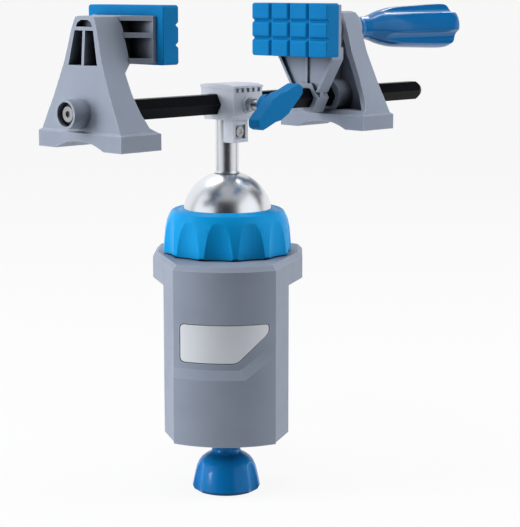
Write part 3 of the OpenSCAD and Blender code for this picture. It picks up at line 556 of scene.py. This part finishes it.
# Spindle and handle
# The feed screw of the moving jaw with its washer and clip, and a handle with four broad flutes on its outer
# end. The handle is moulded in glossy dark blue plastic and closed by a plug.
spindle_radius = 0.005
threaded("spindle", rod_ends("spindle", bar_axis, spindle_radius), plain=(0.0, 0.09), radius=spindle_radius,
         depth=0.0008, lead=0.0025, hand=-1, finish=plated_steel)
for ring in ("spindle_washer", "spindle_clip"):
    rounded(ring, plated_steel, edge=0.00025)
grip_blue = plastic("grip_blue", colour=(0.002, 0.118, 0.330), drifted=(0.002, 0.108, 0.305),
                    worn_highlight_colour=(0.01, 0.17, 0.42), gloss=(0.10, 0.17), grain_size=0.0006, depth=0.00001,
                    wear_highlight_width=0.0012, shine_level=0.24)
grip = rounded("handle", grip_blue, edge=0.0009, rounds=3)
rounded("handle_plug", black_nylon, edge=0.0004)

# Studio floor
# A pale seamless sweep just under the vise, level in front and curved up far behind it.
# It stays white to the camera and keeps a soft shadow.
ground = cad_box[0].z
floor_gap = 0.0008
floor_half = 0.85
floor_glow = 0.91
sweep = [(-0.42, 0.0), (2.2, 0.0), (2.7, 0.06), (3.05, 0.25), (3.2, 0.6), (3.25, 3.0)]
floor_mesh = bpy.data.meshes.new("studio_floor")
form = bmesh.new()
rows = [[form.verts.new((x, y, ground - floor_gap + z)) for x in (-floor_half, floor_half)] for y, z in sweep]
for near, far in zip(rows, rows[1:]):
    form.faces.new((near[0], near[1], far[1], far[0]))
form.to_mesh(floor_mesh)
form.free()
floor_mesh.shade_smooth()
studio_floor = put("studio_floor", floor_mesh)


def seen(tree):
    """A node that gives 1 to the camera's own view, its mirror images and what glass shows, and else 0."""
    path = place(tree, "LightPath")
    mirrored = reckon(tree, "MAXIMUM")
    through = reckon(tree, "MAXIMUM")
    wire(tree,
         (path, "Is Camera Ray", mirrored, 0), (path, "Is Glossy Ray", mirrored, 1),
         (mirrored, 0, through, 0), (path, "Is Transmission Ray", through, 1))
    return through


white = (1.0, 1.0, 1.0, 1.0)
pale, tree = material("pale_floor")
tree.nodes.remove(tree.nodes["Principled BSDF"])
matt = place(tree, "BsdfDiffuse", Color=(0.66, 0.66, 0.67, 1.0))
glow = place(tree, "Emission", Color=white, Strength=1.0)
share = reckon(tree, "MULTIPLY", None, floor_glow)
mixed = place(tree, "MixShader")
wire(tree,
     (seen(tree), 0, share, 0), (share, 0, mixed, "Fac"),
     (matt, "BSDF", mixed, 1), (glow, "Emission", mixed, 2),
     (mixed, "Shader", tree.nodes["Material Output"], "Surface"))
floor_mesh.materials.append(pale)

# Studio light
# A white room, two tall softboxes, one to each side, and a softer one above. Three small strips put
# highlights on the handle and the knob, and light nothing else. Polished parts mirror boards: white ones at
# the sides, a grey one overhead, dark ones in front and beside, and a bright strip behind.
world = bpy.data.worlds.new("white_room")
bpy.context.scene.world = world
world.use_nodes = True
tree = world.node_tree
room = tree.nodes["Background"]
room.inputs["Color"].default_value = white
room.inputs["Strength"].default_value = 1.0
fill = place(tree, "Background", Color=(0.93, 0.96, 1.0, 1.0), Strength=0.2)
mixed = place(tree, "MixShader")
wire(tree,
     (seen(tree), 0, mixed, "Fac"), (fill, "Background", mixed, 1), (room, "Background", mixed, 2),
     (mixed, "Shader", tree.nodes["World Output"], "Surface"))


def softbox(name, spot, aim, wide, tall, power):
    """A rectangular lamp at a spot, turned to its aim."""
    lamp = bpy.data.lights.new(name, "AREA")
    lamp.shape = "RECTANGLE"
    lamp.size = wide
    lamp.size_y = tall
    lamp.energy = power
    holder = put(name, lamp)
    holder.location = spot
    holder.rotation_euler = (Vector(aim) - Vector(spot)).to_track_quat("-Z", "Y").to_euler()
    return holder


for name, spot, aim, wide, tall, power in (
    ("left_softbox", (-1.35, -0.26, 0.45), (0.0, 0.0, 0.05), 0.8, 1.15, 25.5),
    ("right_softbox", (1.35, 0.1, 0.45), (0.0, 0.0, 0.05), 0.7, 1.15, 15.0),
    ("top_softbox", (-0.15, -0.32, 1.5), (0.0, 0.0, 0.0), 0.9, 0.6, 14.0),
):
    holder = softbox(name, spot, aim, wide, tall, power)
    holder.visible_glossy = False
for name, spot, aim, wide, tall, power, piece in (
    ("handle_strip", (0.45, 1.35, 1.0), (0.14, 0.12, 0.165), 0.5, 0.4, 4.2, grip),
    ("knob_strip_right", (1.13, 0.3, 0.13), (0.01, -0.06, -0.11), 0.3, 0.22, 8.0, bell),
    ("knob_strip_left", (-1.2, -0.79, 0.15), (-0.01, -0.06, -0.11), 0.3, 0.3, 5.0, bell),
):
    holder = softbox(name, spot, aim, wide, tall, power)
    holder.visible_camera = False
    holder.visible_diffuse = False
    lit_piece = bpy.data.collections.new(name)
    lit_piece.objects.link(piece)
    holder.light_linking.receiver_collection = lit_piece


def level_board(left, right, near, far, z):
    """The corners of a level board."""
    return [(left, near, z), (right, near, z), (right, far, z), (left, far, z)]


def side_board(x, near, far, top):
    """The corners of an upright board at one side, standing on the ground."""
    return [(x, near, ground), (x, far, ground), (x, far, top), (x, near, top)]


# the dark boards stand round the front of the floor, and one at the right runs on behind with a sloped edge
wall = 2.2
wall_front = -2.4
wall_back = 0.6
ceiling = 2.4
floor_side = 0.86
floor_front = -0.43
front_board = [(-wall, wall_front, ground), (wall, wall_front, ground),
               (wall, wall_front, ceiling), (-wall, wall_front, ceiling)]
slope_back = 1.6
slope_low = 0.45
slope_high = 1.3
sloped_board = [(wall, wall_back, slope_low), (wall, slope_back, slope_high),
                (wall, slope_back, ceiling), (wall, wall_back, ceiling)]
for name, brightness, boards in (
    ("dark_card", 0.008, (
        level_board(-wall, wall, floor_front, wall_front, ground),
        level_board(floor_side, wall, floor_front, wall_back, ground),
        level_board(-floor_side, -wall, floor_front, wall_back, ground),
        front_board,
        side_board(wall, wall_front, wall_back, ceiling),
        sloped_board,
        side_board(-wall, wall_front, wall_back, ceiling))),
    ("grey_card", 0.5, (level_board(-wall, wall, wall_front, wall_back, ceiling),)),
    ("white_card", 1.15, (
        side_board(-1.4, near=-2.2, far=0.2, top=1.5),
        side_board(1.4, near=-2.3, far=0.15, top=1.5))),
    ("bright_strip", 9.0, (level_board(-0.9, 0.9, near=0.5, far=0.75, z=1.5),)),
):
    card_mesh = bpy.data.meshes.new(name)
    corners = [corner for board in boards for corner in board]
    card_mesh.from_pydata(corners, [], [tuple(range(k, k + 4)) for k in range(0, len(corners), 4)])
    card = put(name, card_mesh)
    card.visible_camera = False
    card.visible_diffuse = False
    card.visible_shadow = False
    card_paint, tree = material(name)
    tree.nodes.remove(tree.nodes["Principled BSDF"])
    sheen = place(tree, "Emission", Color=white, Strength=brightness)
    wire(tree, (sheen, "Emission", tree.nodes["Material Output"], "Surface"))
    card_mesh.materials.append(card_paint)

# Camera
# A long lens a little above the jaws, looking slightly down on the front of the base, as in the photograph.
lens_tilt = math.radians(80.43)
lens_heading = math.radians(1.0)
lens = bpy.data.cameras.new("studio_camera")
lens.lens = 112.2
lens.sensor_width = 36.0
camera = put("studio_camera", lens)
camera.location = (0.04032, -1.09482, 0.19148)
camera.rotation_euler = (lens_tilt, 0.0, lens_heading)
bpy.context.scene.camera = camera
bpy.context.scene.view_settings.view_transform = "Standard"
